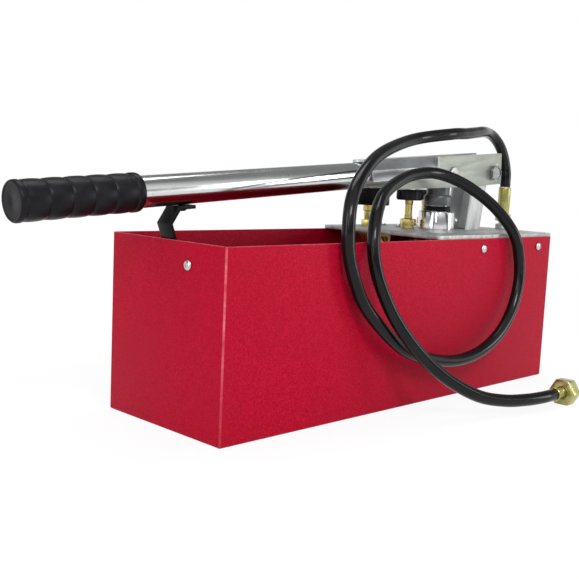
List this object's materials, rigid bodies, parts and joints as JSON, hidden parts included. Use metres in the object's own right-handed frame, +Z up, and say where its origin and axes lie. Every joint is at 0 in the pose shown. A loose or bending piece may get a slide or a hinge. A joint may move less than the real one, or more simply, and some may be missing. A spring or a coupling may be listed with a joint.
{
  "type": "hydrostatic test pump",
  "caption": "Hand lever pressure test pump: open sheet tank with a plate that carries the pump cylinder, valves, gauge and linked lever, and a looped hose with a union nut.",
  "frame": {"origin": "centre of the tank's bottom face", "axes": "+X from the grip to the pump end, +Y to the back wall, +Z up"},
  "size_m": [0.6901, 0.2855, 0.3084],
  "materials": {
    "crimson_coat": "satin powder coat with fine speckle",
    "galvanised": "galvanised sheet",
    "bright_zinc": "bright zinc plating",
    "dull_zinc": "dull zinc plating",
    "polished_steel": "polished",
    "chrome": "chrome plating",
    "dark_steel": "dark phosphated steel",
    "brass": "machined brass",
    "yellow_zinc": "yellow passivated zinc plating",
    "black_rubber": "satin rubber",
    "hose_rubber": "smooth satin rubber",
    "black_plastic": "moulded",
    "black_paint": "black paint",
    "dial_white": "printed card",
    "clear_glass": "clear",
    "spring_steel": "bright wire"
  },
  "bodies": {
    "root": {"tank_shell": "crimson_coat", "end_screw": "bright_zinc", "end_screw_nut": "bright_zinc", "latch_keeper": "dull_zinc", "wall_screw_1": "bright_zinc", "wall_screw_2": "bright_zinc", "wall_screw_3": "bright_zinc", "wall_screw_4": "bright_zinc", "bracket_front": "dull_zinc", "bracket_rear": "dull_zinc", "pump_plate": "galvanised", "cylinder_collar": "polished_steel", "cylinder_barrel": "dull_zinc", "rod_wiper": "black_rubber", "collar_lock_screw": "bright_zinc", "suction_valve_body": "brass", "suction_strainer": "brass", "valve_block": "brass", "block_screw_1": "bright_zinc", "block_screw_2": "bright_zinc", "delivery_plug": "brass", "delivery_spring": "spring_steel", "outlet_pipe": "bright_zinc", "shutoff_bonnet": "brass", "release_bonnet": "brass", "gauge_stem": "brass", "gauge_case": "black_plastic", "gauge_dial": "dial_white", "gauge_lens": "clear_glass", "link_lug_front": "dull_zinc", "link_lug_rear": "dull_zinc", "link_base_pin": "bright_zinc", "hose_base_adapter": "bright_zinc", "hose_swivel_nut": "yellow_zinc", "hose_ferrule": "yellow_zinc", "hose": "hose_rubber", "end_nipple": "yellow_zinc"},
    "swing_link": {"swing_link": "galvanised"},
    "lever": {"lever_tube": "chrome", "lever_channel": "galvanised", "lever_cheek_front": "dull_zinc", "lever_cheek_rear": "dull_zinc", "lever_grip": "black_rubber", "latch_strip": "black_paint", "latch_rivet": "black_paint", "fulcrum_bolt": "bright_zinc", "fulcrum_nut": "bright_zinc"},
    "piston": {"piston_head": "dark_steel", "piston_plunger": "polished_steel", "piston_seal": "black_rubber", "piston_pin": "bright_zinc", "pin_clip": "spring_steel"},
    "shutoff_valve": {"shutoff_spindle": "brass", "shutoff_knob": "black_plastic"},
    "release_valve": {"release_spindle": "brass", "release_knob": "black_plastic"},
    "gauge_pointer": {"gauge_pointer": "black_paint"},
    "suction_ball": {"suction_ball": "polished_steel"},
    "delivery_ball": {"delivery_ball": "polished_steel"},
    "end_nut": {"end_nut": "yellow_zinc"}
  },
  "joints": [
    {"name": "link_swing", "type": "hinge", "parent": "root", "child": "swing_link", "pos_m": [0.1947, 0, 0.169], "axis": [0, 1, 0], "range_deg": [-4.5, 0]},
    {"name": "lever_lift", "type": "hinge", "parent": "swing_link", "child": "lever", "pos_m": [0.226, 0, 0.2526], "axis": [0, 1, 0], "range_deg": [0, 30.6]},
    {"name": "piston_stroke", "type": "slide", "parent": "root", "child": "piston", "axis": [0, 0, 1], "range_m": [0, 0.0403]},
    {"name": "shutoff_turn", "type": "hinge", "parent": "root", "child": "shutoff_valve", "pos_m": [0.111, 0.02, 0.2], "axis": [0, 0, 1], "range_deg": [0, 360]},
    {"name": "release_turn", "type": "hinge", "parent": "root", "child": "release_valve", "pos_m": [0.174, 0.043, 0.2], "axis": [0, 0, 1], "range_deg": [0, 360]},
    {"name": "pointer_turn", "type": "hinge", "parent": "root", "child": "gauge_pointer", "pos_m": [0.0803, 0.058, 0.2], "axis": [0, 0, -1], "range_deg": [0, 270]},
    {"name": "suction_ball_lift", "type": "slide", "parent": "root", "child": "suction_ball", "axis": [0, 0, 1], "range_m": [0, 0.002]},
    {"name": "delivery_ball_lift", "type": "slide", "parent": "root", "child": "delivery_ball", "axis": [-1, 0, 0], "range_m": [0, 0.002], "deforming": ["delivery_spring"]},
    {"name": "end_nut_turn", "type": "hinge", "parent": "root", "child": "end_nut", "pos_m": [0.15, -0.182, 0.0135], "axis": [1, 0, 0], "continuous": true}
  ],
  "couplings": [
    {"joint": "link_swing", "follows": "lever_lift", "ratio": -0.1431},
    {"joint": "piston_stroke", "follows": "lever_lift", "m_per_rad": 0.0753}
  ]
}
